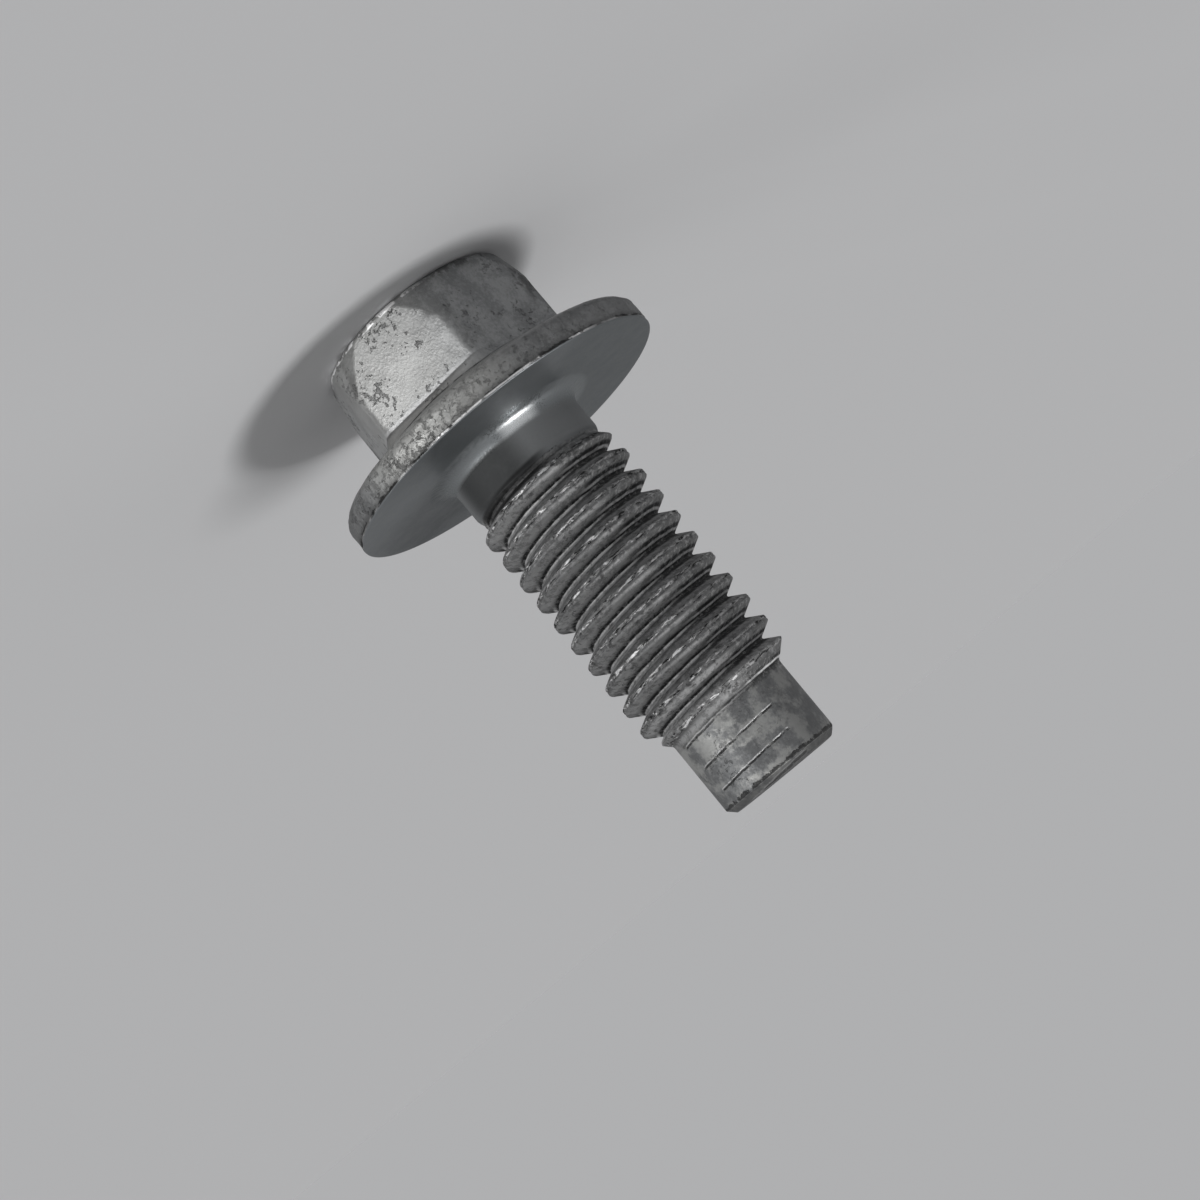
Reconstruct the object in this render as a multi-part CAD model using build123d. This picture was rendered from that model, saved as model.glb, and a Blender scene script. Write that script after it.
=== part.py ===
from build123d import *
import math
import os

# Hex flange bolt, M8 x 1.25 right-hand, 20 mm under the head, with a plain
# pilot point. Millimetres, Z along the shank. The bearing face lies in Z = 0
# with its centre at the origin: the head is below it, the shank above.

# Head
ACROSS_FLATS = 9.85          # takes a 10 mm spanner
ACROSS_CORNERS = 11.2        # over the rounded corners
HEAD_HEIGHT = 7.25           # bearing face to top face
TOP_DIAMETER = 9.4           # flat disc on the head top
TOP_CHAMFER_ANGLE = 30.0     # from the top face
TOP_CHAMFER_HEIGHT = 0.2
CORNER_TAPER_ANGLE = 16.0    # the corners lean in from the axis above this
FOOT_WIDTH = 0.2             # sloping foot round the base of the hexagon
FOOT_HEIGHT = 0.58

# Flange
FLANGE_DIAMETER = 17.0
RIM_THICKNESS = 1.35         # where the cone would meet the rim
FLANGE_ANGLE = 17.5          # slope of the cone, from the bearing face
RIM_TOP_RADIUS = 0.4
RIM_EDGE_RADIUS = 0.12       # outer edge of the bearing face

# Shank
LENGTH = 20.0                # bearing face to tip
NECK_RELIEF = 0.7            # the neck is this much under the major diameter
NECK_LENGTH = 2.1
UNDERHEAD_RADIUS = 1.0

# Thread
MAJOR_DIAMETER = 7.8
PITCH = 1.25
FLANK_ANGLE = 30.0           # from the plane across the axis
CREST_FLAT = 0.3
ROOT_FLAT = 0.08
FIRST_CREST = 2.17           # height of the crest over +X nearest the head
START_RUNOUT = 0.85          # the grooves deepen over this length
END_RUNOUT = 1.15            # the crests fade into the pilot over this length

# Pilot point
PILOT_LENGTH = 3.75
PILOT_RELIEF = 0.07          # the pilot is this much under the thread's core
TIP_CHAMFER = 0.35

# Sizes that follow
FLANK_WIDTH = (PITCH - CREST_FLAT - ROOT_FLAT) / 2
THREAD_DEPTH = FLANK_WIDTH / math.tan(math.radians(FLANK_ANGLE))
MAJOR_RADIUS = MAJOR_DIAMETER / 2
ROOT_RADIUS = MAJOR_RADIUS - THREAD_DEPTH
NECK_RADIUS = (MAJOR_DIAMETER - NECK_RELIEF) / 2
PILOT_RADIUS = ROOT_RADIUS - PILOT_RELIEF / 2
FLANGE_RADIUS = FLANGE_DIAMETER / 2
THREAD_END = LENGTH - PILOT_LENGTH


def hexagon(across_flats, across_corners):
    """Hexagon with a corner on +X and its corners rounded."""
    sharp = across_flats / math.sqrt(3)
    rounding = (sharp - across_corners / 2) / (2 / math.sqrt(3) - 1)
    outline = RegularPolygon(sharp, 6)
    return fillet(outline.vertices(), rounding)


def turned(points):
    """Solid of revolution about Z of the closed outline through (radius, height)."""
    outline = Polyline([(r, 0, z) for r, z in points], close=True)
    return revolve(make_face(outline), Axis.Z)


def crown():
    """Turned form that tapers the hexagon's corners and chamfers the top."""
    top_radius = TOP_DIAMETER / 2
    shoulder = top_radius + TOP_CHAMFER_HEIGHT / math.tan(math.radians(TOP_CHAMFER_ANGLE))
    reach = HEAD_HEIGHT - TOP_CHAMFER_HEIGHT
    widest = shoulder + reach * math.tan(math.radians(CORNER_TAPER_ANGLE))
    return turned(
        [
            (0, -HEAD_HEIGHT),
            (top_radius, -HEAD_HEIGHT),
            (shoulder, -reach),
            (widest, 0),
            (0, 0),
        ]
    )


def hex_head():
    section = hexagon(ACROSS_FLATS, ACROSS_CORNERS)
    prism = Pos(0, 0, -HEAD_HEIGHT) * extrude(section, HEAD_HEIGHT - RIM_THICKNESS / 2)
    return prism & crown()


def hex_foot():
    """Short sloping foot where the hexagon meets the flange."""
    wide = hexagon(ACROSS_FLATS + 2 * FOOT_WIDTH, ACROSS_CORNERS + 2 * FOOT_WIDTH)
    slope = math.degrees(math.atan2(FOOT_WIDTH, FOOT_HEIGHT))
    corner = FLANGE_RADIUS - ACROSS_CORNERS / 2 - FOOT_WIDTH
    base = RIM_THICKNESS + corner * math.tan(math.radians(FLANGE_ANGLE))
    return Pos(0, 0, -base) * extrude(wide, FOOT_HEIGHT, dir=(0, 0, -1), taper=slope)


def ring(body, radius, height):
    """The circular edge of a turned body at this radius and height."""

    def miss(edge):
        return abs(edge.radius - radius) + abs(edge.arc_center.Z - height)

    return min(body.edges().filter_by(GeomType.CIRCLE), key=miss)


def flange_and_shank():
    """Flange, neck with its underhead fillet, core of the thread, and pilot."""
    cone_height = FLANGE_RADIUS * math.tan(math.radians(FLANGE_ANGLE))
    body = turned(
        [
            (0, -RIM_THICKNESS - cone_height),
            (FLANGE_RADIUS, -RIM_THICKNESS),
            (FLANGE_RADIUS, 0),
            (NECK_RADIUS, 0),
            (NECK_RADIUS, NECK_LENGTH),
            (PILOT_RADIUS, NECK_LENGTH + START_RUNOUT),
            (PILOT_RADIUS, LENGTH - TIP_CHAMFER),
            (PILOT_RADIUS - TIP_CHAMFER, LENGTH),
            (0, LENGTH),
        ]
    )
    body = fillet(ring(body, FLANGE_RADIUS, -RIM_THICKNESS), RIM_TOP_RADIUS)
    body = fillet(ring(body, FLANGE_RADIUS, 0), RIM_EDGE_RADIUS)
    return fillet(ring(body, NECK_RADIUS, 0), UNDERHEAD_RADIUS)


def spiral(start_radius, end_radius, start_angle, end_angle):
    """Curve whose radius changes evenly with the angle."""
    steps = 16
    points = []
    for i in range(steps + 1):
        radius = start_radius + (end_radius - start_radius) * i / steps
        angle = math.radians(start_angle + (end_angle - start_angle) * i / steps)
        points.append((radius * math.cos(angle), radius * math.sin(angle)))
    return Spline(points)


def thread_section():
    """Slice of the thread across the axis, its crest centred on +X."""
    degrees_per_mm = 360 / PITCH
    flank = FLANK_WIDTH * degrees_per_mm
    crest = CREST_FLAT / 2 * degrees_per_mm
    root = crest + flank
    return make_face(
        [
            CenterArc((0, 0), MAJOR_RADIUS, -crest, 2 * crest),
            spiral(MAJOR_RADIUS, ROOT_RADIUS, crest, root),
            CenterArc((0, 0), ROOT_RADIUS, root, 360 - 2 * root),
            spiral(ROOT_RADIUS, MAJOR_RADIUS, 360 - root, 360 - crest),
        ]
    )


def thread():
    """Right-hand thread with 45 degree run-outs that end inside the core."""
    inner = PILOT_RADIUS - 0.1 * PITCH
    outer = MAJOR_RADIUS + 0.4 * PITCH
    start = NECK_LENGTH + START_RUNOUT - (MAJOR_RADIUS - inner)
    end = THREAD_END - END_RUNOUT + (MAJOR_RADIUS - inner)
    spindle = turned(
        [
            (0, start),
            (inner, start),
            (outer, start + outer - inner),
            (outer, end - outer + inner),
            (inner, end),
            (0, end),
        ]
    )
    bottom = start - 0.1 * PITCH
    height = end + 0.1 * PITCH - bottom
    turn = 360 * (bottom - FIRST_CREST) / PITCH
    slice_face = Pos(0, 0, bottom) * Rot(0, 0, turn) * thread_section()
    twist = 360 * height / PITCH
    ribbed = Solid.extrude_linear_with_rotation(
        slice_face.face(), (0, 0, bottom), (0, 0, height), twist
    )
    return ribbed & spindle


bolt = flange_and_shank() + hex_foot() + hex_head() + thread()

os.makedirs("parts", exist_ok=True)
export_step(bolt, "parts/flange_bolt.step")
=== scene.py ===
"""Looks of a zinc-plated hex flange bolt with a plain pilot point."""

import math

import bpy
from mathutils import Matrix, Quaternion, Vector, noise

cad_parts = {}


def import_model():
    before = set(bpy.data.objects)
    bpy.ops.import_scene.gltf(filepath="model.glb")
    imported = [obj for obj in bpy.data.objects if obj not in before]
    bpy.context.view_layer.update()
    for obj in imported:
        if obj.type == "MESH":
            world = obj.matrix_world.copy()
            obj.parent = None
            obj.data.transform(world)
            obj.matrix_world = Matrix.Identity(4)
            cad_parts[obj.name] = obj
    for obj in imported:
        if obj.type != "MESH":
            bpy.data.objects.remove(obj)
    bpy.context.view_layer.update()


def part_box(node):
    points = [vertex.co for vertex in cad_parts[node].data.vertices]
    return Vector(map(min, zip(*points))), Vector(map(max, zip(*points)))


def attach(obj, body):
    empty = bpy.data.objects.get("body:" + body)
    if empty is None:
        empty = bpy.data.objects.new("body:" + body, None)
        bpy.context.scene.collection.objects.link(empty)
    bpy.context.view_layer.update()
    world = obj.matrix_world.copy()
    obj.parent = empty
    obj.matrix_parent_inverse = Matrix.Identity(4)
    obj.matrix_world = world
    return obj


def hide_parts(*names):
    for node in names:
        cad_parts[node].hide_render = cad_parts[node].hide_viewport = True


# Lengths are in millimetres, Z along the shank, bearing face at Z = 0.
MM = 0.001
NODE = "flange_bolt"

# Head
ACROSS_FLATS = 9.85
ACROSS_CORNERS = 11.2        # over the rounded corners
TOP_RADIUS = 4.7             # flat disc on the head top
TOP_ROUNDING = 0.25
CHAMFER_HEIGHT = 0.2
CHAMFER_ANGLE = 30.0         # from the top face
CHAMFER_ROUNDING = 0.15
LEAST_TAPER = 0.03           # width of the taper on the middle of each flat
CORNER_TAPER_ANGLE = 16.0    # the corners lean in from the axis above this
TAPER_ROUNDING = 1.2
FOOT_WIDTH = 0.2
FOOT_TOP = -2.78
FOOT_BASE = -2.2             # at the corners, where the foot meets the flange
FOOT_ROUNDING = 0.04

# Flange
RIM_THICKNESS = 1.35
FLANGE_ANGLE = 17.5
RIM_TOP_ROUNDING = 0.56
RIM_EDGE_ROUNDING = 0.12

# Shank
NECK_RADIUS = 3.55
NECK_LENGTH = 2.1
UNDERHEAD_ROUNDING = 1.0
PLAIN_END = 1.7              # the last plain ring before the thread

# Thread
MAJOR_RADIUS = 3.9
PITCH = 1.25
CREST_FLAT = 0.3
ROOT_FLAT = 0.08
FLANK_SLOPE = math.tan(math.radians(30.0))  # from the plane across the axis
FIRST_CREST = 2.17           # crest height over +X nearest the head
START_RUNOUT = 0.85
END_RUNOUT = 1.15
THREAD_END = 16.25
RIB_ROUNDING = 0.05          # along the edges of the crest and the root
RUNOUT_ROUNDING = 0.12
BODY_ROUNDING = 0.06         # where the rib meets the neck and the pilot
SEAM_WIDTH = 0.055           # rolling seam along the middle of the crest
SEAM_DEPTH = 0.055

# Pilot
PILOT_RADIUS = 3.1
PILOT_START = 16.5           # the first plain ring after the thread
TIP_CHAMFER = 0.35
CHAMFER_EDGE_ROUNDING = 0.12
END_ROUNDING = 0.1           # round the end face
SCORE_OFFSET = 0.7           # score lines on the pilot, past the crest line

# Sizes that follow
FLANK_WIDTH = (PITCH - CREST_FLAT - ROOT_FLAT) / 2
ROOT_RADIUS = MAJOR_RADIUS - FLANK_WIDTH / FLANK_SLOPE

# Steps of the mesh
COLUMNS = 240                # round the axis
HEAD_STRAIGHTS = [4, 2, 2, 10, 4, 9, 4, 9, 4]  # from the head's centre to the neck
PILOT_STRAIGHTS = [12, 3, 4]
ARC_STEPS = 6                # in each rounded corner
FACE_CORNER = 4              # the head's corner where the hexagon's faces end
LINE_GAP = 0.02              # least gap between a plain ring and a helical line

# Sides of the bolt towards which light and shade are painted into the zinc's colour
LIT_SIDE = (0.26, -0.966, 0.0)       # the side the light comes from: the head is painted lighter there
RIM_LIT_SIDE = (-0.035, -0.999, 0.0)      # the flange and the pilot are painted lighter, with painted highlights, on this side
BRUSHED_AND_HIGHLIGHT_SIDE = (-0.515, -0.857, 0.0)  # the fillet under the head is brushed, and has a painted highlight, on this side
NEXT_FACE = (0.866, -0.5, 0.0)        # the face beside the bright one is painted a little lighter

# Greys of the dirt, some also laid as painted shade
CAKED_DIRT_AND_SHADE = 0.02
DIRT = 0.03
SOOT_AND_SHADE = 0.05
CRUMBS = 0.07
GRIME = 0.08

# Grey of the thread's plating at heights from the crest line, on the side towards the light:
# painted light and shade, with dirt in the root
LIT_THREAD = [
    (-0.46, 0.15),  # root
    (-0.3, 0.27),   # flank towards the head
    (-0.18, 0.2),
    (-0.1, 0.28),   # crest
    (0.08, 0.16),
    (0.2, 0.38),    # flank towards the tip
    (0.34, 0.46),
    (0.44, 0.3),
    (0.5, 0.01),    # dirt and painted shade in the root
    (0.57, 0.0),
    (0.6, 0.15),
]
# The same on the side away from the light: painted shade, a painted highlight and dirt
SHADED_DIRTY_THREAD = [
    (-0.45, 0.05),  # root
    (-0.37, 0.35),  # flank towards the head
    (-0.2, 0.2),
    (0.1, 0.15),    # crest
    (0.2, 0.12),    # flank towards the tip
    (0.3, 0.12),
    (0.35, 0.02),   # dirt and painted shade above the root
    (0.42, 0.04),
    (0.46, 0.9),    # painted highlight on the edge of the root
    (0.5, 0.9),
    (0.53, 0.03),   # dirt and painted shade in the root
]

# Camera
AIM = (1.384, -0.45, 8.518)
AZIMUTH = -18.007
ELEVATION = 8.112
ROLL = 140.623
DISTANCE = 91.902
LENS = 60.0

BACKGROUND = (0.43, 0.432, 0.439, 1)
SOFT_LIGHT = (0.3, 0.3, 0.3, 1)  # of the surroundings
FLOOR_COLOUR = (0.6, 0.602, 0.611, 1)
FLOOR_SIZE = 6.0             # in metres


# ---------------------------------------------------------------- form


def ramp(value, low, high):
    """0 below low, 1 above high, smooth between them."""
    t = min(max((value - low) / (high - low), 0.0), 1.0)
    return t * t * (3 - 2 * t)


def soft_min(a, b, blend):
    """The smaller of two values, rounded over where they are close."""
    h = min(max(0.5 + 0.5 * (b - a) / blend, 0.0), 1.0)
    return b + (a - b) * h - blend * h * (1 - h)


def soft_max(a, b, blend):
    """The larger of two values, rounded over where they are close."""
    return -soft_min(-a, -b, blend)


def dents(place, scale, level, depth):
    """Depth of scattered dents, which lie where the noise rises above a level."""
    return max(noise.noise(place * scale) - level, 0.0) * depth


def hexagon_radius(angle):
    """Distance from the axis to the hexagon, which has a rounded corner at angle 0."""
    from_corner = abs((angle + math.pi / 6) % (math.pi / 3) - math.pi / 6)
    sharp = ACROSS_FLATS / math.sqrt(3)
    rounding = (sharp - ACROSS_CORNERS / 2) / (2 / math.sqrt(3) - 1)
    centre = ACROSS_CORNERS / 2 - rounding
    half_span = math.atan2(rounding / 2, centre + rounding * math.sqrt(3) / 2)
    if from_corner < half_span:
        across = centre * math.sin(from_corner)
        return centre * math.cos(from_corner) + math.sqrt(rounding**2 - across**2)
    return ACROSS_FLATS / 2 / math.cos(math.pi / 6 - from_corner)


def crowded_angle(step):
    """Angle of a column on the hexagon: the columns stand closer near its corners."""
    crowding = 0.8
    sector = COLUMNS / 6
    t = (step % sector) / sector
    inside = t - crowding * math.sin(2 * math.pi * t) / (2 * math.pi)
    return math.radians(60) * (step // sector + inside)


def rounded_outline(corners, straights):
    """Points along an outline of (radius, height, rounding) corners.

    Each straight is cut into its own number of steps and each rounded corner
    into ARC_STEPS, so that every outline made from like corners has as many points.
    """
    spots = [Vector(c[:2]) for c in corners]
    points = [spots[0]]
    for k in range(1, len(spots)):
        start = points[-1]
        if k == len(spots) - 1:
            finish, arc = spots[k], []
        else:
            before, after = spots[k - 1] - spots[k], spots[k + 1] - spots[k]
            turn = before.angle(after, math.pi)
            # a rounding takes less than half of each straight beside it
            reach = corners[k][2] / max(math.tan(turn / 2), 1e-6)
            reach = min(reach, before.length * 0.48, after.length * 0.48)
            finish = spots[k] + before.normalized() * reach
            leave = spots[k] + after.normalized() * reach
            arc = []
            for s in range(1, ARC_STEPS + 1):
                t = s / ARC_STEPS
                arc.append(finish * (1 - t) ** 2 + spots[k] * 2 * t * (1 - t) + leave * t**2)
        steps = straights[k - 1]
        points += [start.lerp(finish, s / steps) for s in range(1, steps + 1)]
        points += arc
    return points


def head_corners(angle, head_top, flange_radius):
    """Corners (radius, height, rounding) from the head's centre round to the neck."""
    face = hexagon_radius(angle)
    chamfer_slope = math.tan(math.radians(CHAMFER_ANGLE))
    shoulder = TOP_RADIUS + CHAMFER_HEIGHT / chamfer_slope
    chamfer_end = min(shoulder, face - LEAST_TAPER)
    chamfer_z = head_top + (chamfer_end - TOP_RADIUS) * chamfer_slope
    face_z = chamfer_z + (face - chamfer_end) / math.tan(math.radians(CORNER_TAPER_ANGLE))
    cone_slope = math.tan(math.radians(FLANGE_ANGLE))
    foot_spread = FOOT_WIDTH / (FOOT_BASE - FOOT_TOP)
    # where the foot's slope meets the flange's cone
    cone_z = -RIM_THICKNESS - (flange_radius - face) * cone_slope
    drop = (cone_z - FOOT_TOP) / (1 - cone_slope * foot_spread)
    return [
        (0.0, head_top, 0.0),
        (TOP_RADIUS, head_top, TOP_ROUNDING),
        (chamfer_end, chamfer_z, CHAMFER_ROUNDING),
        (face, face_z, TAPER_ROUNDING),
        (face, FOOT_TOP, FOOT_ROUNDING),
        (face + drop * foot_spread, FOOT_TOP + drop, FOOT_ROUNDING),
        (flange_radius, -RIM_THICKNESS, RIM_TOP_ROUNDING),
        (flange_radius, 0.0, RIM_EDGE_ROUNDING),
        (NECK_RADIUS, 0.0, UNDERHEAD_ROUNDING),
        (NECK_RADIUS, PLAIN_END, 0.0),
    ]


def along_outline(outline, corner):
    """Distance of each point along the head's outline from the middle of a corner."""
    lengths = [0.0]
    for a, b in zip(outline, outline[1:]):
        lengths.append(lengths[-1] + (b - a).length)
    middle = sum(HEAD_STRAIGHTS[:corner]) + ARC_STEPS * (corner - 1) + ARC_STEPS // 2
    return [length - lengths[middle] for length in lengths]


def head_rings(head_top, flange_radius):
    """Rings of points from the head's top centre to the neck.

    Each point also has its distances past the foot's two edges. The columns
    stand evenly on the round parts and closer near the corners of the hexagon.
    """
    columns = []
    for step in range(COLUMNS):
        hex_angle = crowded_angle(step)
        corners = head_corners(hex_angle, head_top, flange_radius)
        outline = rounded_outline(corners, HEAD_STRAIGHTS)
        past_face = along_outline(outline, FACE_CORNER)
        past_foot = along_outline(outline, FACE_CORNER + 1)
        even = 2 * math.pi * step / COLUMNS
        column = []
        for (radius, z), *past in zip(outline, past_face, past_foot):
            spread = ramp(z, FOOT_BASE - 0.2, -RIM_THICKNESS - 0.2)
            if z < head_top + 0.05:
                spread = 1 - ramp(radius, 2.0, TOP_RADIUS)
            angle = hex_angle + (even - hex_angle) * spread
            column.append((dented_head(radius, angle, z, flange_radius), *past))
        columns.append(column)
    return [list(ring) for ring in zip(*columns)]


def dented_head(radius, angle, z, flange_radius):
    """A point of the head with the small unevenness of a forged, tumbled part."""
    x, y = radius * math.cos(angle), radius * math.sin(angle)
    place = Vector((x, y, z))
    on_hexagon = 1 - ramp(z, FOOT_TOP, FOOT_BASE)
    on_rim = ramp(radius, flange_radius - 0.8, flange_radius - 0.1)
    on_rim *= ramp(z, -1.9, -1.2) * (1 - ramp(z, -0.12, -0.02))
    waves = dents(place, 0.6, 0.0, 0.035)
    nicks = dents(place, 2.6, 0.28, 0.12)
    chips = (0.5 + noise.noise(Vector((x * 1.1, y * 1.1, z * 3.0)))) * 0.05
    chips = max(chips + dents(place, 3.4, 0.1, 0.12), 0.0)
    inward = (waves + nicks) * on_hexagon + chips * on_rim
    scale = (radius - inward) / radius if radius > 1.0 else 1.0
    return Vector((x * scale, y * scale, z))


def body_radius(z):
    """The neck, the core under the thread and the pilot, as turned."""
    fall = ramp(z, NECK_LENGTH - 0.1, NECK_LENGTH + START_RUNOUT + 0.1)
    return NECK_RADIUS + (PILOT_RADIUS - NECK_RADIUS) * fall


def rib_radius(offset):
    """The thread's outline at this height above its nearest crest line."""
    fall = (abs(offset) - CREST_FLAT / 2) / FLANK_SLOPE
    radius = soft_min(MAJOR_RADIUS, MAJOR_RADIUS - fall, RIB_ROUNDING)
    return soft_max(radius, ROOT_RADIUS, RIB_ROUNDING)


def thread_radius(z, offset):
    """The threaded shank: the rib fades into the body over a run-out at each end."""
    start = MAJOR_RADIUS + z - NECK_LENGTH - START_RUNOUT
    end = MAJOR_RADIUS - z + THREAD_END - END_RUNOUT
    rib = rib_radius(offset)
    travel = 2 * math.pi * MAJOR_RADIUS * (z - FIRST_CREST) / PITCH
    path = Vector((travel, offset * 4, 0.0))
    seam = ramp(noise.noise(path * 0.9), -0.15, 0.35) * SEAM_DEPTH
    seam *= math.exp(-((offset / SEAM_WIDTH) ** 2))
    ragged = abs(noise.noise(path * 0.7 + Vector((0, 0, 7)))) * 0.02
    rib -= seam + ragged * ramp(rib, ROOT_RADIUS, MAJOR_RADIUS)
    rib = soft_min(rib, min(start, end), RUNOUT_ROUNDING)
    return soft_max(body_radius(z), rib, BODY_ROUNDING)


def line_offsets():
    """Heights, within one pitch, of the lines that follow the thread's outline."""
    crest = CREST_FLAT / 2
    half = [crest * f for f in (0.15, 0.5, 0.85)]
    half += [crest + FLANK_WIDTH * f for f in (0.04, 0.16, 0.38, 0.62, 0.82, 0.96)]
    return sorted([-h for h in half] + half) + [PITCH / 2]


def thread_columns():
    """For each column, its points on the helical lines, as {line number: point}."""
    offsets = line_offsets()
    crests = range(-3, 16)  # a few more than the thread has
    columns = []
    for step in range(COLUMNS):
        turn = step / COLUMNS
        angle = 2 * math.pi * turn
        column = {}
        for crest in crests:
            for k, offset in enumerate(offsets):
                z = FIRST_CREST + PITCH * (crest + turn) + offset
                if PLAIN_END + LINE_GAP < z < PILOT_START - LINE_GAP:
                    radius = thread_radius(z, offset)
                    point = Vector((radius * math.cos(angle), radius * math.sin(angle), z))
                    column[crest * len(offsets) + k] = point
        columns.append(column)
    return columns, len(offsets)


def pilot_rings(tip):
    """Rings of the plain pilot, its ragged chamfer and the end face."""
    corners = [
        (PILOT_RADIUS, PILOT_START, 0.0),
        (PILOT_RADIUS, tip - TIP_CHAMFER, CHAMFER_EDGE_ROUNDING),
        (PILOT_RADIUS - TIP_CHAMFER, tip, END_ROUNDING),
        (0.0, tip, 0.0),
    ]
    rings = []
    for radius, z in rounded_outline(corners, PILOT_STRAIGHTS):
        near_tip = ramp(z, tip - 0.7, tip - 0.3) * ramp(radius, 2.0, 2.7)
        ring = []
        for step in range(COLUMNS):
            angle = 2 * math.pi * step / COLUMNS
            place = Vector((radius * math.cos(angle), radius * math.sin(angle), z))
            bites = (dents(place, 1.7, -0.1, 0.12) + dents(place, 4.0, 0.0, 0.08)) * near_tip
            scale = 1 - bites / max(radius, 1.0)
            ring.append(Vector((place.x * scale, place.y * scale, z)))
        rings.append(ring)
    return rings


class Skin:
    """Collects vertices and faces of a closed surface."""

    def __init__(self):
        self.points = []
        self.past_face = []
        self.past_foot = []
        self.faces = []

    def add(self, points):
        """Add points, or points with their distances past the foot's edges."""
        first = len(self.points)
        far = 9.0
        for point in points:
            place, face, foot = point if isinstance(point, tuple) else (point, far, far)
            self.points.append(place)
            self.past_face.append(face)
            self.past_foot.append(foot)
        return list(range(first, len(self.points)))

    def band(self, low, high):
        """Faces between two rings with one vertex in each column."""
        for i in range(COLUMNS):
            n = (i + 1) % COLUMNS
            self.faces.append((low[i], low[n], high[n], high[i]))

    def cap(self, centre, ring, upward):
        """Triangles from a ring to a vertex at its centre."""
        for i in range(COLUMNS):
            n = (i + 1) % COLUMNS
            self.faces.append((ring[i], ring[n], centre) if upward else (ring[n], ring[i], centre))

    def thread_band(self, low, columns, lines, high):
        """Faces between the neck's ring, the helical lines and the pilot's ring."""
        numbered = [dict(zip(c, self.add(list(c.values())))) for c in columns]
        for i in range(COLUMNS):
            n = (i + 1) % COLUMNS
            here = numbered[i]
            # past the last column each line goes on as the one a pitch higher
            shift = lines if n == 0 else 0
            there = {line - shift: v for line, v in numbered[n].items()}
            both = sorted(set(here) & set(there))
            for line in both[:-1]:
                self.faces.append((here[line], there[line], there[line + 1], here[line + 1]))
            below = [there[line] for line in sorted(there) if line < both[0]]
            above = [here[line] for line in sorted(here) if line > both[-1]]
            self.fan(low[i], [low[n], *below, there[both[0]], here[both[0]]])
            self.fan(high[n], [high[i], *above[::-1], here[both[-1]], there[both[-1]]])

    def fan(self, corner, edge):
        """Triangles from a corner to an edge of three or more vertices."""
        for a, b in zip(edge, edge[1:]):
            self.faces.append((corner, a, b))


def bolt_surface(low, high):
    """The whole bolt as one closed mesh, in millimetres."""
    head_top, tip, flange_radius = low.z / MM, high.z / MM, high.x / MM
    skin = Skin()
    rings = head_rings(head_top, flange_radius)
    centre = skin.add([Vector((0, 0, head_top))])[0]
    head = [skin.add(ring) for ring in rings[1:]]
    skin.cap(centre, head[0], upward=False)
    for below, above in zip(head, head[1:]):
        skin.band(below, above)
    pilot = [skin.add(ring) for ring in pilot_rings(tip)[:-1]]
    columns, lines = thread_columns()
    skin.thread_band(head[-1], columns, lines, pilot[0])
    for below, above in zip(pilot, pilot[1:]):
        skin.band(below, above)
    skin.cap(skin.add([Vector((0, 0, tip))])[0], pilot[-1], upward=True)
    return skin


def make_bolt(low, high):
    """The bolt's mesh object, with the distances past the foot's edges as attributes."""
    skin = bolt_surface(low, high)
    mesh = bpy.data.meshes.new("flange_bolt_surface")
    mesh.from_pydata([p * MM for p in skin.points], [], skin.faces)
    mesh.validate()
    mesh.shade_smooth()
    for name, values in (("past face", skin.past_face), ("past foot", skin.past_foot)):
        mesh.attributes.new(name, "FLOAT", "POINT").data.foreach_set("value", values)
    bolt = bpy.data.objects.new("plated_flange_bolt", mesh)
    bpy.context.collection.objects.link(bolt)
    return bolt


# ---------------------------------------------------------------- materials


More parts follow.
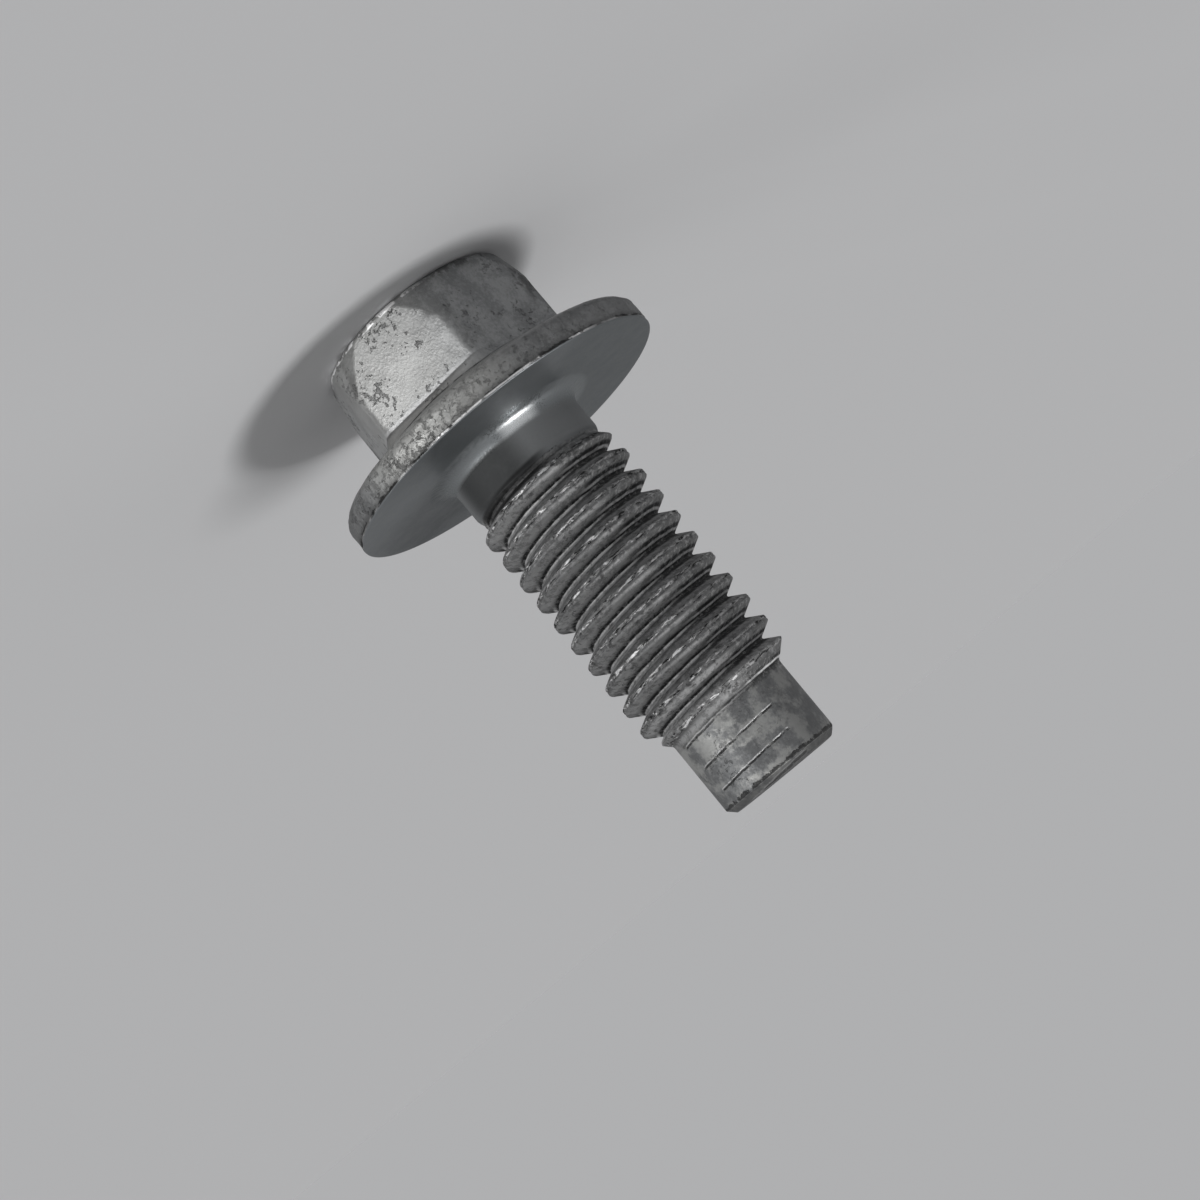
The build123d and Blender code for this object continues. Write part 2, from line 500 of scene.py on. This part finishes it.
class Tree:
    """Short calls for building a shader node tree."""

    def __init__(self, tree):
        self.tree = tree

    def node(self, kind, inputs=(), **settings):
        """A shader node with its settings and its inputs, which are sockets or constants."""
        node = self.tree.nodes.new("ShaderNode" + kind)
        for name, value in settings.items():
            setattr(node, name, value)
        for name, value in dict(inputs).items():
            self.feed(node.inputs[name], value)
        return node

    def feed(self, socket, value):
        if isinstance(value, bpy.types.NodeSocket):
            self.tree.links.new(value, socket)
        else:
            socket.default_value = value

    def math(self, operation, *values):
        return self.node("Math", dict(enumerate(values)), operation=operation).outputs[0]

    def add(self, a, b):
        return self.math("ADD", a, b)

    def subtract(self, a, b):
        return self.math("SUBTRACT", a, b)

    def times(self, *values):
        """Product of two or more values."""
        product = values[0]
        for value in values[1:]:
            product = self.math("MULTIPLY", product, value)
        return product

    def dot(self, a, b):
        return self.node("VectorMath", {0: a, 1: b}, operation="DOT_PRODUCT").outputs["Value"]

    def ramp(self, value, low, high, start=0.0, end=1.0):
        """From start to end as the value goes from low to high, smooth between them."""
        inputs = {"Value": value, "From Min": low, "From Max": high, "To Min": start, "To Max": end}
        return self.node("MapRange", inputs, interpolation_type="SMOOTHSTEP").outputs[0]

    def noise(self, vector, scale, detail=4.0, roughness=0.6, distortion=0.0):
        inputs = {
            "Vector": vector,
            "Scale": scale,
            "Detail": detail,
            "Roughness": roughness,
            "Distortion": distortion,
        }
        return self.node("TexNoise", inputs).outputs["Fac"]

    def mix(self, factor, a, b):
        node = self.node("Mix", {0: factor}, data_type="RGBA")
        self.feed(node.inputs[6], a)
        self.feed(node.inputs[7], b)
        return node.outputs[2]

    def greys(self, value, low, high, stops):
        """Grey level along a ramp of (place, level) stops that lie from low to high."""
        node = self.node("ValToRGB")
        elements = node.color_ramp.elements
        while len(elements) < len(stops):
            elements.new(0.5)
        for element, (place, level) in zip(elements, stops):
            element.position = (place - low) / (high - low)
            element.color = (level, level, level, 1)
        along = self.node("MapRange", {"Value": value, "From Min": low, "From Max": high})
        self.feed(node.inputs["Fac"], along.outputs[0])
        return node.outputs["Color"]

    def group(self, group, inputs=()):
        node = self.tree.nodes.new("ShaderNodeGroup")
        node.node_tree = group
        for name, value in dict(inputs).items():
            self.feed(node.inputs[name], value)
        return node.outputs


def new_group(name, inputs, outputs):
    """An empty node group, its tree helper, its input sockets and its output node."""
    group = bpy.data.node_groups.new(name, "ShaderNodeTree")
    for socket, kind, value in inputs:
        made = group.interface.new_socket(socket, in_out="INPUT", socket_type="NodeSocket" + kind)
        if value is not None:
            made.default_value = value
    for socket, kind in outputs:
        group.interface.new_socket(socket, in_out="OUTPUT", socket_type="NodeSocket" + kind)
    tree = Tree(group)
    entry = group.nodes.new("NodeGroupInput")
    leave = group.nodes.new("NodeGroupOutput")
    return group, tree, entry.outputs, leave


def place_group():
    """Where a point lies on the bolt, in millimetres, and where on its thread.

    Turns counts the thread's turns from the first crest line, Offset is the height
    above the nearest crest line, and Travel is the distance along that line.
    """
    outputs = [(n, "Float") for n in ("Radius", "Height", "Around", "Turns", "Offset", "Travel")]
    outputs += [("Position", "Vector"), ("Outward", "Vector")]
    group, tree, _, leave = new_group("Place on bolt", [], outputs)
    coordinates = tree.node("TexCoord").outputs["Object"]
    scaled = tree.node("VectorMath", {0: coordinates, "Scale": 1 / MM}, operation="SCALE")
    position = scaled.outputs["Vector"]
    parts = tree.node("SeparateXYZ", {0: position}).outputs
    flat = tree.node("CombineXYZ", {0: parts["X"], 1: parts["Y"]}).outputs[0]
    around = tree.math("DIVIDE", tree.math("ARCTAN2", parts["Y"], parts["X"]), 2 * math.pi)
    above = tree.math("DIVIDE", tree.subtract(parts["Z"], FIRST_CREST), PITCH)
    turns = tree.subtract(above, around)
    nearest = tree.math("ROUND", turns)
    values = {
        "Position": position,
        "Outward": tree.node("VectorMath", {0: flat}, operation="NORMALIZE").outputs["Vector"],
        "Radius": tree.node("VectorMath", {0: flat}, operation="LENGTH").outputs["Value"],
        "Height": parts["Z"],
        "Around": around,
        "Turns": turns,
        "Offset": tree.times(tree.subtract(turns, nearest), PITCH),
        "Travel": tree.times(tree.add(nearest, around), 2 * math.pi * MAJOR_RADIUS),
    }
    for name, value in values.items():
        tree.feed(leave.inputs[name], value)
    return group


def pits_group():
    """Small dark pits with ragged outlines, gathered in patches."""
    inputs = [("Position", "Vector", None), ("Scale", "Float", 3.0), ("Amount", "Float", 0.5)]
    group, tree, given, leave = new_group("Pits", inputs, [("Mask", "Float")])
    fine = tree.noise(given["Position"], given["Scale"], 9.0, 0.72, 0.2)
    patches = tree.ramp(tree.noise(given["Position"], 0.55, 2.0), 0.38, 0.64)
    limit = tree.subtract(0.78, tree.times(given["Amount"], 0.2))
    limit = tree.subtract(limit, tree.times(patches, 0.14))
    tree.feed(leave.inputs["Mask"], tree.ramp(tree.subtract(fine, limit), 0.0, 0.035))
    return group


def mottle_group():
    """Cloudy light and dark patches of a tumbled zinc surface, from -1 to 1."""
    inputs = [("Position", "Vector", None), ("Scale", "Float", 1.0)]
    group, tree, given, leave = new_group("Mottling", inputs, [("Value", "Float")])
    broad = tree.noise(given["Position"], given["Scale"], 3.0, 0.5)
    fine = tree.noise(given["Position"], tree.times(given["Scale"], 6.0), 4.0, 0.7)
    both = tree.add(tree.times(broad, 0.6), tree.times(fine, 0.4))
    tree.feed(leave.inputs["Value"], tree.ramp(both, 0.35, 0.65, -1.0, 1.0))
    return group


def streak_group():
    """Broken streaks that run round the bolt."""
    inputs = [("Along", "Float", 0.0), ("Across", "Float", 0.0), ("Level", "Float", 0.55)]
    group, tree, given, leave = new_group("Streaks", inputs, [("Mask", "Float")])
    stretched = {0: tree.times(given["Along"], 1.6), 1: tree.times(given["Across"], 7.0)}
    pattern = tree.noise(tree.node("CombineXYZ", stretched).outputs[0], 1.0, 5.0, 0.65, 0.8)
    above = tree.subtract(pattern, given["Level"])
    tree.feed(leave.inputs["Mask"], tree.ramp(above, 0.0, 0.05))
    return group


class Plate(Tree):
    """The shader of the zinc plate, built up coat by coat."""

    def __init__(self, tree, head_top, tip):
        super().__init__(tree)
        self.head_top = head_top
        self.tip_edge = tip - TIP_CHAMFER
        self.place = self.group(place_group())
        self.position = self.place["Position"]
        self.height = self.place["Height"]
        self.past_face = self.node("Attribute", attribute_name="past face").outputs["Fac"]
        self.past_foot = self.node("Attribute", attribute_name="past foot").outputs["Fac"]
        # How far the surface faces the light; coats laid with these masks paint light and shade
        # into the colour
        self.lamp_facing = self.dot(self.place["Outward"], LIT_SIDE)
        self.toward_lamp = self.ramp(self.lamp_facing, 0.55, 0.97)
        self.on_head = self.ramp(self.height, FOOT_TOP + 0.08, FOOT_TOP - 0.42)
        self.beyond_foot = self.ramp(self.past_foot, -0.02, 0.03)
        self.flange = self.times(self.beyond_foot, self.ramp(self.height, -0.03, -0.09))
        self.underside = self.between(-0.06, NECK_LENGTH + 0.2, 0.03)
        self.outside = self.subtract(1.0, self.underside)
        self.thread = self.between(NECK_LENGTH + 0.3, THREAD_END - 0.05, 0.3)
        self.pilot = self.ramp(self.height, THREAD_END - 0.35, THREAD_END + 0.15)
        self.colour = (0.19, 0.194, 0.197, 1)
        self.roughness = 0.44
        self.relief = 0.0
        self.dark_and_dull = 0.0

    def between(self, low, high, soft):
        """Mask of the heights from low to high."""
        rise = self.ramp(self.height, low - soft, low + soft)
        return self.times(rise, self.ramp(self.height, high + soft, high - soft))

    def toward(self, side, low, high, start=0.0, end=1.0):
        """Ramp over how far the surface faces a side of the bolt."""
        return self.ramp(self.dot(self.place["Outward"], side), low, high, start, end)

    def past_crest(self, offset):
        """Height above the crest line below, from 0 to one pitch."""
        return self.add(offset, self.times(self.math("LESS_THAN", offset, 0.0), PITCH))

    def patches(self, scale, detail, roughness, low, high, distortion=0.0):
        """Mask of the patches where a noise rises above a level."""
        pattern = self.noise(self.position, scale, detail, roughness, distortion)
        return self.ramp(pattern, low, high)

    def coat(self, mask, strength, tint):
        """Lay a grey or a colour over the plate."""
        if isinstance(tint, float):
            tint = (tint, tint, tint)
        if isinstance(tint, tuple):
            tint = (*tint, 1)
        self.colour = self.mix(self.times(mask, strength), self.colour, tint)

    def roughen(self, mask, amount):
        """Add to the roughness, or take away where the amount is negative."""
        self.roughness = self.add(self.roughness, self.times(mask, amount))

    def sink(self, mask, depth):
        """Lower the surface by a depth in millimetres, or raise it where that is negative."""
        self.relief = self.subtract(self.relief, self.times(mask, depth))

    def pack(self, mask):
        """Mark dark dirt, and painted shade, which hardly shines, as though no clear film covered
        it.
        """
        self.dark_and_dull = self.math("MAXIMUM", self.dark_and_dull, mask)

    def connect(self, shader):
        relief = self.times(self.relief, MM)
        bump = self.node("Bump", {"Height": relief, "Strength": 1.0, "Distance": 1.0})
        self.feed(shader.inputs["Base Color"], self.colour)
        self.feed(shader.inputs["Roughness"], self.roughness)
        self.feed(shader.inputs["Metallic"], self.ramp(self.dark_and_dull, 0.0, 1.0, 0.6, 1.0))
        self.feed(shader.inputs["Normal"], bump.outputs["Normal"])
        shader.inputs["Specular Tint"].default_value = (0.45, 0.45, 0.45, 1)


def base_plate(plate):
    """Cloudy grey plate with a fine grain."""
    mottle = plate.group(mottle_group(), {"Position": plate.position, "Scale": 0.9})["Value"]
    speckle = plate.noise(plate.position, 6.0, 6.0, 0.75)
    pale = plate.ramp(plate.add(plate.times(mottle, 0.22), speckle), 0.25, 0.75)
    grain = plate.times(plate.noise(plate.position, 8.0, 4.0, 0.6), plate.outside)
    plate.coat(pale, 1.0, (0.3, 0.305, 0.307))
    plate.roughen(pale, 0.08)
    plate.sink(grain, -0.02)


def flange_finish(plate):
    """Soiled rim and cone with crumbs of dirt, painted lighter on the side towards the light."""
    cone = plate.ramp(plate.height, 0.15 - RIM_THICKNESS, -0.05 - RIM_THICKNESS)
    cone = plate.times(plate.beyond_foot, cone)
    lit = plate.times(plate.toward(RIM_LIT_SIDE, 0.8, 0.98), plate.flange)
    clouds = plate.noise(plate.position, 0.45, 2.0)
    crumbs = plate.noise(plate.position, 2.6, 10.0, 0.78, 0.3)
    crumbs = plate.add(crumbs, plate.ramp(clouds, 0.35, 0.65, -0.04, 0.04))
    crumbs = plate.times(plate.ramp(crumbs, 0.5, 0.62), plate.flange)
    plate.coat(plate.flange, 0.42, 0.09)
    plate.coat(cone, 0.45, 0.45)
    # painted light: the rim is lighter on the side towards the light
    plate.coat(lit, 0.64, (0.38, 0.38, 0.366))
    plate.coat(crumbs, 0.34, CRUMBS)
    plate.sink(crumbs, 0.02)


def head_finish(plate):
    """Hexagon painted lighter on the side towards the light and a little on the face beside it,
    with dark blotches, sooty and partly painted shade, along its top edge and corners away from the
    light.
    """
    next_face = plate.toward(NEXT_FACE, 0.86, 0.88)
    near_top = plate.ramp(plate.height, plate.head_top + 0.55, plate.head_top + 0.3)
    corner = ACROSS_CORNERS / 2
    near_corner = plate.ramp(plate.place["Radius"], corner - 0.3, corner - 0.1)
    soot_and_shade = plate.patches(1.2, 7.0, 0.72, 0.45, 0.55)
    soot_and_shade = plate.times(soot_and_shade, plate.math("MAXIMUM", near_top, near_corner), plate.on_head)
    soot_and_shade = plate.times(soot_and_shade, plate.ramp(plate.lamp_facing, 0.8, 0.5))
    # painted light on the face towards the light and on the face beside it
    plate.coat(plate.times(plate.toward_lamp, plate.on_head), 0.45, (0.255, 0.252, 0.24))
    plate.coat(plate.times(next_face, plate.on_head), 0.35, 0.45)
    # painted shade and sooty blotches along the edges away from the light
    plate.coat(soot_and_shade, 0.7, SOOT_AND_SHADE)


def top_edge(plate):
    """A broken painted highlight along the head's top edge, on the side towards the light."""
    edge = plate.times(
        plate.ramp(plate.height, plate.head_top + 0.35, plate.head_top + 0.28),
        plate.ramp(plate.height, plate.head_top + 0.05, plate.head_top + 0.11),
    )
    broken = plate.patches(2.0, 5.0, 0.6, 0.45, 0.5)
    # painted highlight along the top edge
    plate.coat(plate.times(edge, broken, plate.toward_lamp), 0.9, 0.9)


def foot_finish(plate):
    """The band of the foot, the lines along its two edges, and a light line above: painted light on
    the band, a painted shade line along its top and a painted highlight line above it on the side
    towards the light, and painted shade in the crease at its base, strongest towards the light.
    """
    face, foot = plate.past_face, plate.past_foot
    band = plate.times(plate.ramp(face, -0.01, 0.04), plate.ramp(foot, 0.0, -0.05), plate.toward_lamp)
    upper = plate.times(plate.ramp(face, -0.02, 0.03), plate.ramp(face, 0.2, 0.06), plate.toward_lamp)
    above = plate.times(plate.ramp(face, -0.22, -0.14), plate.ramp(face, 0.0, -0.04), plate.toward_lamp)
    crease = plate.times(plate.ramp(foot, -0.08, -0.03), plate.ramp(foot, 0.08, 0.02))
    crease = plate.times(crease, plate.patches(1.2, 4.0, 0.6, 0.3, 0.5))
    crease = plate.times(crease, plate.ramp(plate.toward_lamp, 0.0, 0.5, 0.35, 1.0))
    # painted light, shade and highlight on the foot; the crease's grey is painted shade
    plate.coat(band, 0.9, (0.2, 0.198, 0.192))
    plate.coat(upper, 0.6, 0.1)
    plate.coat(above, 0.5, 0.4)
    plate.coat(crease, 0.9, CAKED_DIRT_AND_SHADE)


def bearing_edge(plate):
    """Painted shade and ragged dirt along the edge of the bearing face, and a broken painted
    highlight line on the edge.
    """
    ragged = plate.times(plate.noise(plate.position, 1.6, 6.0, 0.7), 0.5)
    ragged_height = plate.add(plate.height, ragged)
    shade = plate.times(plate.ramp(ragged_height, -0.22, 0.02), plate.flange)
    dirt = plate.times(plate.ramp(ragged_height, 0.02, 0.1), plate.flange)
    dirt = plate.times(dirt, plate.patches(0.35, 2.0, 0.6, 0.4, 0.5))
    line = plate.times(plate.patches(0.6, 6.0, 0.6, 0.44, 0.5), plate.beyond_foot)
    line = plate.times(line, plate.ramp(plate.height, -0.17, -0.13))
    line = plate.times(line, plate.ramp(plate.height, 0.01, -0.02))
    line = plate.times(line, plate.toward(BRUSHED_AND_HIGHLIGHT_SIDE, 0.84, 0.93, 0.3, 1.0))
    # painted shade, then dirt, then the painted highlight line
    plate.coat(shade, 0.55, 0.09)
    plate.coat(dirt, 0.9, DIRT)
    plate.coat(line, 0.9, 0.85)
    plate.pack(dirt)


def thread_tone(plate):
    """Grey of the thread across one pitch, painted light and shade with dirt: a lit grey with a
    painted lit strip past each root towards the light, a shaded grey with dirt lines away from it.
    """
    clouds = plate.noise(plate.position, 0.9, 4.0)
    across = plate.add(plate.place["Offset"], plate.ramp(clouds, 0.2, 0.8, -0.025, 0.025))
    half = PITCH / 2
    lit = plate.greys(across, -half, half, LIT_THREAD)
    shaded_dirty = plate.greys(across, -half, half, SHADED_DIRTY_THREAD)
    # painted lit strip past each root, its edge moving round the bolt like a shadow's edge: wider
    # towards +X
    lean = plate.times(plate.dot(plate.place["Outward"], (1.0, 0.0, 0.0)), 0.19)
    above = plate.past_crest(across)
    strip = plate.ramp(plate.subtract(above, lean), 0.81, 0.74)
    strip = plate.times(plate.ramp(above, 0.57, 0.6), strip)
    lit = plate.mix(strip, lit, (0.6, 0.6, 0.6, 1))
    # lit and shaded greys: painted light and shade
    return plate.mix(plate.ramp(plate.lamp_facing, 0.45, 0.8), shaded_dirty, lit)


def thread_finish(plate):
    """The thread's tone, with grime and dust on it."""
    tone = thread_tone(plate)
    grime = plate.times(plate.patches(2.6, 8.0, 0.75, 0.49, 0.56), plate.thread)
    dust = plate.times(plate.patches(3.6, 8.0, 0.78, 0.51, 0.58), plate.thread)
    plate.coat(plate.thread, 0.85, tone)
    plate.coat(grime, 0.45, GRIME)
    plate.coat(dust, 0.4, 0.5)
    plate.roughen(plate.thread, 0.2)
    # the darkest greys, dirt and painted shade, made dull
    plate.pack(plate.times(plate.ramp(tone, 0.12, 0.0), plate.thread))


def underside_finish(plate):
    """Clean bearing face, with painted light making it paler on two sides, and the neck, with a
    painted shadow on the side towards the light.
    """
    pale = plate.toward(BRUSHED_AND_HIGHLIGHT_SIDE, 0.86, 1.0, 0.0, 0.6)
    pale = plate.math("MAXIMUM", pale, plate.toward(NEXT_FACE, 0.6, 0.95, 0.0, 0.5))
    fillet = plate.between(-0.02, 0.75, 0.02)
    past_neck = plate.subtract(plate.place["Radius"], NECK_RADIUS)
    fillet = plate.times(fillet, plate.ramp(past_neck, 1.25, 0.85))
    neck = plate.between(0.62, NECK_LENGTH + 0.2, 0.14)
    dark = plate.times(neck, plate.ramp(plate.lamp_facing, 0.72, 0.95))
    plate.coat(plate.underside, 1.0, (0.13, 0.14, 0.146))
    # painted light: the bearing face is paler on two sides
    plate.coat(plate.times(plate.underside, pale), 1.0, (0.23, 0.24, 0.25))
    plate.coat(fillet, 1.0, (0.19, 0.201, 0.207))
    plate.coat(neck, 1.0, (0.2, 0.206, 0.21))
    # painted shadow on the neck
    plate.coat(dark, 1.0, (0.06, 0.062, 0.063))
    plate.roughen(plate.underside, -0.1)
    plate.roughen(neck, 0.3)
    brushed_fillet(plate, fillet)


def brushed_fillet(plate, fillet):
    """A brushed patch on the fillet, its scratches running round the bolt, with a painted highlight
    streak on it.
    """
    along = plate.times(plate.place["Around"], 14.0)
    lines = plate.node("CombineXYZ", {0: along, 1: plate.height}).outputs[0]
    scratches = plate.noise(lines, 14.0, 4.0, 0.7)
    brushed = plate.times(plate.ramp(scratches, 0.4, 0.62), fillet)
    fillet_highlight = plate.times(plate.ramp(plate.height, 0.05, 0.2), plate.ramp(plate.height, 0.8, 0.5))
    fillet_highlight = plate.times(fillet_highlight, plate.ramp(scratches, 0.3, 0.6, 0.55, 1.0))
    fillet_highlight = plate.times(fillet_highlight, plate.toward(BRUSHED_AND_HIGHLIGHT_SIDE, 0.94, 1.0))
    dull = plate.times(fillet, plate.toward(BRUSHED_AND_HIGHLIGHT_SIDE, 0.97, 0.86))
    # painted highlight along the fillet
    plate.coat(fillet_highlight, 0.9, (0.75, 0.77, 0.78))
    plate.roughen(fillet, 0.05)
    plate.roughen(brushed, -0.28)
    plate.roughen(dull, 0.2)


def first_groove(plate):
    """Painted shadow, dark and dull, in the groove between the neck and the first crest, on the
    side towards the light.
    """
    turns = plate.place["Turns"]
    groove = plate.times(plate.ramp(turns, 0.15, 0.3), plate.ramp(turns, 0.85, 0.75))
    groove = plate.times(groove, plate.ramp(plate.lamp_facing, 0.6, 0.85))
    # painted shadow in the first groove
    plate.coat(groove, 0.8, CAKED_DIRT_AND_SHADE)
    plate.pack(groove)


def pilot_finish(plate):
    """Pale patches on the pilot, with a painted highlight on the side towards the light and painted
    shade on the far side.
    """
    patch = plate.times(plate.patches(0.9, 8.0, 0.66, 0.46, 0.58), plate.pilot)
    bright = plate.times(plate.patches(1.6, 7.0, 0.7, 0.48, 0.56), patch)
    bright = plate.times(bright, plate.toward(RIM_LIT_SIDE, 0.9, 1.0))
    far_side = plate.times(plate.pilot, plate.ramp(plate.lamp_facing, 0.7, 0.3))
    plate.coat(plate.pilot, 0.1, 0.1)
    plate.coat(patch, 0.5, (0.5, 0.5, 0.48))
    # painted highlight on the patches towards the light, painted shade on the far side
    plate.coat(bright, 0.5, (0.65, 0.65, 0.63))
    plate.coat(far_side, 0.4, 0.06)


def pitting(plate):
    """Pits all over but the underside, fainter on the pilot."""
    given = {"Position": plate.position, "Scale": 3.4, "Amount": 0.5}
    pits = plate.times(plate.group(pits_group(), given)["Mask"], plate.outside)
    pits = plate.times(pits, plate.subtract(1.0, plate.times(plate.pilot, 0.7)))
    plate.coat(pits, 0.42, CRUMBS)
    plate.roughen(pits, 0.2)
    plate.sink(pits, 0.06)


def crest_marks(plate):
    """Dark seam along the middle of each crest, and bright specks, painted glints, strongest on the
    side towards the light.
    """
    streaks = streak_group()
    along, across = plate.place["Travel"], plate.place["Offset"]
    elsewhere = plate.add(along, 37.0)
    from_seam = plate.math("ABSOLUTE", plate.add(across, 0.07))
    crest = plate.times(plate.ramp(from_seam, 0.13, 0.06), plate.thread)
    seam = plate.group(streaks, {"Along": along, "Across": across, "Level": 0.53})["Mask"]
    specks = plate.group(streaks, {"Along": elsewhere, "Across": across, "Level": 0.54})["Mask"]
    seam = plate.times(seam, crest)
    specks = plate.times(specks, crest, plate.ramp(plate.lamp_facing, 0.4, 0.9, 0.25, 1.0))
    plate.coat(seam, 0.9, CAKED_DIRT_AND_SHADE)
    # painted glints on the crest
    plate.coat(specks, 0.95, 0.9)
    plate.roughen(specks, -0.15)
    plate.sink(seam, 0.05)
    plate.pack(seam)


def score_lines(plate):
    """Faint score lines on the pilot, one pitch apart, drawn on the side towards the light, each
    with a painted highlight for the ridge left beside it.
    """
    broken = plate.noise(plate.position, 0.8, 5.0, 0.7)
    broken = plate.ramp(plate.times(broken, plate.toward(RIM_LIT_SIDE, 0.55, 0.8)), 0.34, 0.42)
    worn_off = plate.ramp(plate.noise(plate.position, 2.6, 7.0, 0.75), 0.4, 0.5, 0.15, 1.0)
    scored = plate.times(plate.pilot, broken, worn_off)
    wander = plate.times(plate.noise(plate.position, 2.0, 4.0, 0.7), 0.12)
    past_score = plate.subtract(plate.past_crest(plate.place["Offset"]), SCORE_OFFSET)
    past_score = plate.add(past_score, wander)
    past_ridge = plate.add(past_score, 0.07)
    score = plate.times(plate.ramp(plate.math("ABSOLUTE", past_score), 0.07, 0.03), scored)
    ridge = plate.times(plate.ramp(plate.math("ABSOLUTE", past_ridge), 0.04, 0.015), scored)
    plate.coat(score, 0.9, DIRT)
    # painted highlight beside each score line
    plate.coat(ridge, 0.8, 0.75)
    plate.sink(score, 0.03)


def tip_finish(plate):
    """Dark chamfer and end face, with a ragged line of dirt along the edge."""
    height, edge = plate.height, plate.tip_edge
    tip = plate.ramp(height, edge + 0.03, edge + 0.09)
    near_edge = plate.ramp(height, edge - 0.55, edge)
    near_edge = plate.times(near_edge, plate.ramp(height, edge + 0.11, edge + 0.03))
    ragged = plate.noise(plate.position, 1.1, 9.0, 0.75, 0.5)
    dirt = plate.ramp(plate.times(ragged, near_edge), 0.41, 0.47)
    plate.coat(tip, 0.75, GRIME)
    plate.coat(dirt, 0.85, DIRT)
    plate.roughen(tip, 0.2)
    plate.sink(dirt, 0.05)


def zinc_material(low, high):
    """Dull zinc plate, scuffed at the edges and grimy in the grooves, with light and shade painted
    into its colour.
    """
    material = bpy.data.materials.new("worn_zinc_plate")
    material.use_nodes = True
    plate = Plate(material.node_tree, low.z / MM, high.z / MM)
    base_plate(plate)
    flange_finish(plate)
    head_finish(plate)
    top_edge(plate)
    foot_finish(plate)
    bearing_edge(plate)
    thread_finish(plate)
    underside_finish(plate)
    first_groove(plate)
    pilot_finish(plate)
    pitting(plate)
    crest_marks(plate)
    score_lines(plate)
    tip_finish(plate)
    plate.connect(material.node_tree.nodes["Principled BSDF"])
    return material


def floor_material():
    """Matt pale board."""
    material = bpy.data.materials.new("pale_board")
    material.use_nodes = True
    shader = material.node_tree.nodes["Principled BSDF"]
    shader.inputs["Base Color"].default_value = FLOOR_COLOUR
    shader.inputs["Roughness"].default_value = 0.8
    shader.inputs["Specular IOR Level"].default_value = 0.1
    return material


# ---------------------------------------------------------------- stage


def make_floor(height):
    half = FLOOR_SIZE / 2
    corners = [(-half, -half), (half, -half), (half, half), (-half, half)]
    mesh = bpy.data.meshes.new("floor_surface")
    mesh.from_pydata([(x, y, height) for x, y in corners], [], [(0, 1, 2, 3)])
    floor = bpy.data.objects.new("floor", mesh)
    bpy.context.collection.objects.link(floor)
    floor.data.materials.append(floor_material())


def direction(azimuth, elevation):
    """Unit vector at an elevation over the floor; azimuth 0 is -Y and 90 is +X."""
    a, e = math.radians(azimuth), math.radians(elevation)
    return Vector((math.sin(a) * math.cos(e), -math.cos(a) * math.cos(e), math.sin(e)))


def place_lamp(light, azimuth, elevation, distance=0.0, aim=(0, 0, 0)):
    """Put a lamp in a direction from its aim; the distance and the aim are in millimetres."""
    lamp = bpy.data.objects.new(light.name, light)
    back = direction(azimuth, elevation)
    lamp.location = (Vector(aim) + back * distance) * MM
    lamp.rotation_mode = "QUATERNION"
    lamp.rotation_quaternion = (-back).to_track_quat("-Z", "Y")
    bpy.context.collection.objects.link(lamp)


def make_sun(name, strength, angle):
    light = bpy.data.lights.new(name, "SUN")
    light.energy = strength
    light.angle = math.radians(angle)
    return light


def make_spot(name, power, cone, blend, size):
    """A soft lamp with a narrow cone; its size is in millimetres."""
    light = bpy.data.lights.new(name, "SPOT")
    light.energy = power
    light.spot_size = math.radians(cone)
    light.spot_blend = blend
    light.shadow_soft_size = size * MM
    return light


def make_lamps():
    """A low soft sun, a high one on the other side, and a spot on the head."""
    place_lamp(make_sun("side", strength=1.15, angle=26), azimuth=38, elevation=3)
    place_lamp(make_sun("overhead", strength=1.3, angle=14), azimuth=-78, elevation=70)
    spot = make_spot("head_spot", power=0.74, cone=5.0, blend=0.4, size=6)
    place_lamp(spot, azimuth=17, elevation=1, distance=150, aim=(0, 0, -4.2))


def make_world():
    """Plain surroundings: a pale background to look at, and a softer light from it."""
    world = bpy.data.worlds.new("studio")
    world.use_nodes = True
    tree = Tree(world.node_tree)
    background = world.node_tree.nodes["Background"]
    background.inputs["Strength"].default_value = 1.0
    path = tree.node("LightPath").outputs
    seen = tree.math("MAXIMUM", path["Is Camera Ray"], path["Is Glossy Ray"])
    seen = tree.math("MAXIMUM", seen, path["Is Transmission Ray"])
    tree.feed(background.inputs["Color"], tree.mix(seen, SOFT_LIGHT, BACKGROUND))
    bpy.context.scene.world = world


def make_camera():
    data = bpy.data.cameras.new("camera")
    data.sensor_width = 36.0
    data.lens = LENS
    data.clip_start = 0.001
    data.clip_end = 20.0
    camera = bpy.data.objects.new("camera", data)
    back = direction(AZIMUTH, ELEVATION)
    camera.location = (Vector(AIM) + back * DISTANCE) * MM
    camera.rotation_mode = "QUATERNION"
    level = (-back).to_track_quat("-Z", "Y")
    camera.rotation_quaternion = level @ Quaternion((0, 0, 1), math.radians(ROLL))
    bpy.context.collection.objects.link(camera)
    bpy.context.scene.camera = camera


def main():
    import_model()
    low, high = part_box(NODE)
    bolt = make_bolt(low, high)
    bolt.data.materials.append(zinc_material(low, high))
    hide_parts(NODE)
    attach(bolt, "root")
    make_floor(low.z)
    make_world()
    make_lamps()
    make_camera()
    bpy.context.scene.view_settings.view_transform = "Standard"


main()
